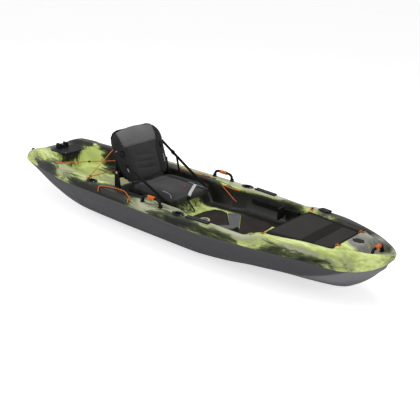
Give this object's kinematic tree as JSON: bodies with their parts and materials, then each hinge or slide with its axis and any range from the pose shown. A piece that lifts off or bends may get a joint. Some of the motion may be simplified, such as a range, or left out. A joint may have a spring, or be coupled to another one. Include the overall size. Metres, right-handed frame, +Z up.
{
  "type": "fishing kayak",
  "caption": "Sit-on-top fishing kayak with a folding framed seat, tank well, covered bow well, flush rod holders, gear tracks, foot braces, carry handles and shock cords.",
  "frame": {"origin": "on the ground under the middle of the hull", "axes": "+X towards the bow, +Y to port, +Z up"},
  "size_m": [3.15, 0.8713, 0.6907],
  "materials": {
    "hull": "satin",
    "deck": "satin",
    "foam": "matt",
    "black_plastic": "satin",
    "pad_dark": "matt",
    "pad_grey": "matt",
    "track": "satin",
    "rail": "satin",
    "rubber": "matt",
    "orange_rubber": "matt",
    "steel": "brushed",
    "seat_fabric": "woven",
    "black_fabric": "woven mesh",
    "webbing": "woven",
    "silver_webbing": "woven",
    "cover": "coated",
    "cord": "braided",
    "black_cord": "braided"
  },
  "bodies": {
    "kayak": {"bow_badge_plate": "black_plastic", "bow_cover_cord": "cord", "bow_handle_anchor_port": "black_plastic", "bow_handle_anchor_starboard": "black_plastic", "cover_hook_front_port": "black_plastic", "cover_hook_front_starboard": "black_plastic", "cover_hook_rear_port": "black_plastic", "cover_hook_rear_starboard": "black_plastic", "deck_pad_aft": "pad_dark", "deck_pad_fore": "pad_dark", "deck_pad_middle": "pad_grey", "deck_shell": "deck", "foam_block_footwell": "foam", "foam_block_seat": "foam", "footrest_rail_port": "rail", "footrest_rail_starboard": "rail", "gear_block_port": "black_plastic", "gear_track_port": "track", "gear_track_starboard": "track", "hull_shell": "hull", "paddle_bungee_port": "cord", "paddle_bungee_starboard": "cord", "rod_holder_mid_port": "black_plastic", "rod_holder_mid_starboard": "black_plastic", "rod_holder_rear_port": "black_plastic", "rod_holder_rear_starboard": "black_plastic", "seat_base": "black_plastic", "seat_cushion": "seat_fabric", "seat_front_buckle": "black_plastic", "seat_front_strap": "silver_webbing", "seat_front_tether": "black_cord", "seat_hinge_pin_port": "steel", "seat_hinge_pin_starboard": "steel", "seat_strap_port": "webbing", "seat_strap_starboard": "webbing", "side_handle_anchor_aft_port": "black_plastic", "side_handle_anchor_aft_starboard": "black_plastic", "side_handle_anchor_fore_port": "black_plastic", "side_handle_anchor_fore_starboard": "black_plastic", "stern_bracket": "black_plastic", "stern_plate": "black_plastic", "strap_slider_port": "black_plastic", "strap_slider_starboard": "black_plastic", "tank_well_bungee": "cord", "tank_well_hook_port": "black_plastic", "tank_well_hook_starboard": "black_plastic", "wall_bungee": "cord"},
    "drain_plug": {"drain_plug": "black_plastic"},
    "foot_peg_port": {"foot_peg_port": "black_plastic"},
    "foot_peg_starboard": {"foot_peg_starboard": "black_plastic"},
    "bow_handle": {"bow_handle": "rubber", "bow_handle_grip": "orange_rubber"},
    "side_handle_port": {"side_handle_port": "rubber", "side_handle_port_grip": "orange_rubber"},
    "side_handle_starboard": {"side_handle_starboard": "rubber", "side_handle_starboard_grip": "orange_rubber"},
    "seat_back": {"seat_back_frame": "black_plastic", "seat_back_cushion": "seat_fabric", "seat_back_pouch": "black_fabric"},
    "bow_cover": {"bow_cover": "cover"}
  },
  "joints": [
    {"name": "drain_plug_turn", "type": "hinge", "parent": "kayak", "child": "drain_plug", "pos_m": [-1.5286, -0.1845, 0.3389], "axis": [-0.4764, 0, 0.8793], "range_deg": [0, 360]},
    {"name": "foot_peg_slide_port", "type": "slide", "parent": "kayak", "child": "foot_peg_port", "axis": [1, 0, 0], "range_m": [-0.24, 0.08]},
    {"name": "foot_peg_slide_starboard", "type": "slide", "parent": "kayak", "child": "foot_peg_starboard", "axis": [1, 0, 0], "range_m": [-0.08, 0.08]},
    {"name": "bow_handle_swing", "type": "hinge", "parent": "kayak", "child": "bow_handle", "pos_m": [1.455, 0, 0.3463], "axis": [0, 1, 0], "range_deg": [-65, 75]},
    {"name": "side_handle_swing_port", "type": "hinge", "parent": "kayak", "child": "side_handle_port", "pos_m": [-0.033, 0.393, 0.3543], "axis": [1, 0, 0], "range_deg": [-80, 80]},
    {"name": "side_handle_swing_starboard", "type": "hinge", "parent": "kayak", "child": "side_handle_starboard", "pos_m": [-0.033, -0.393, 0.3543], "axis": [1, 0, 0], "range_deg": [-80, 80]},
    {"name": "seat_back_fold", "type": "hinge", "parent": "kayak", "child": "seat_back", "pos_m": [-0.497, 0, 0.42], "axis": [0, 1, 0], "range_deg": [0, 111], "deforming": ["seat_strap_port", "seat_strap_starboard", "strap_slider_port", "strap_slider_starboard"]},
    {"name": "bow_cover_lift", "type": "slide", "parent": "kayak", "child": "bow_cover", "axis": [0, 0, 1], "range_m": [0, 0.25], "deforming": ["bow_cover_cord"]}
  ]
}
